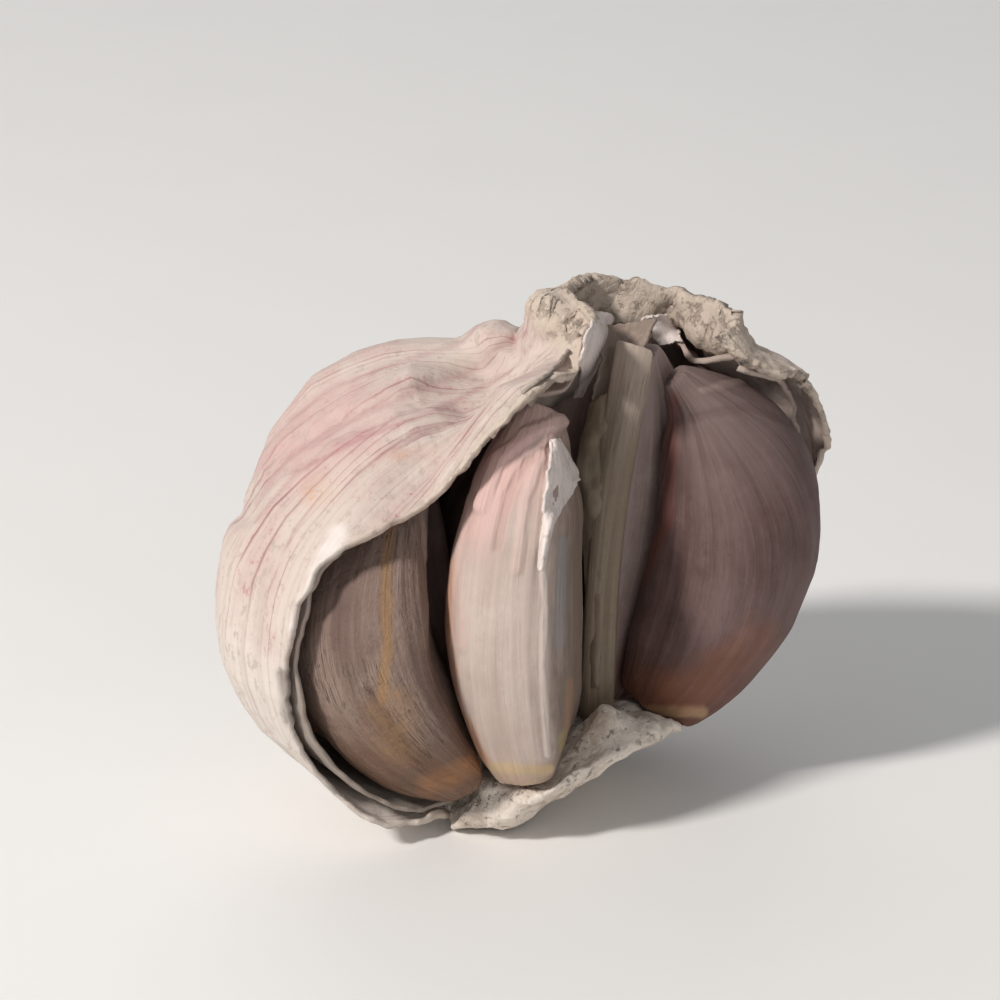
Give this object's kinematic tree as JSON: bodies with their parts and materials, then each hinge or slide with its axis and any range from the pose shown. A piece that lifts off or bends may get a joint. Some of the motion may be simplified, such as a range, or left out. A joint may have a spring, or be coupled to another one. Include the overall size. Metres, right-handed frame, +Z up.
{
  "type": "broken-open garlic bulb",
  "caption": "Garlic bulb with its front cloves broken out: torn papery wrappers, the flanks of the cloves that are left, the stalk and a chalky basal plate, standing on a small flat foot.",
  "frame": {"origin": "Middle of the small flat foot under the basal plate, on the surface that the bulb stands on.", "axes": "+Z is up, along the bulb's height. -Y is the broken front. +X is to the right as the broken front is seen, along the bulb's greatest width."},
  "size_m": [0.0566, 0.0397, 0.0491],
  "materials": {
    "basal_plate": "chalky, dry and rough",
    "clove_back": "dry clove skin",
    "clove_back_left": "dry clove skin",
    "clove_back_right": "dry clove skin",
    "clove_front": "pale pink dry clove skin",
    "clove_front_left": "mauve brown dry clove skin",
    "clove_inner_right": "greyish pink dry clove skin",
    "clove_left": "dry clove skin",
    "clove_right": "mauve brown dry clove skin",
    "stalk": "dry, smooth and fibrous",
    "wrapper_inner": "papery and matte",
    "wrapper_outer": "papery and matte"
  },
  "bodies": {
    "root": {"basal_plate": "basal_plate", "clove_back": "clove_back", "clove_back_left": "clove_back_left", "clove_back_right": "clove_back_right", "clove_front": "clove_front", "clove_front_left": "clove_front_left", "clove_inner_right": "clove_inner_right", "clove_left": "clove_left", "clove_right": "clove_right", "stalk": "stalk", "wrapper_inner": "wrapper_inner", "wrapper_outer": "wrapper_outer"}
  },
  "joints": []
}
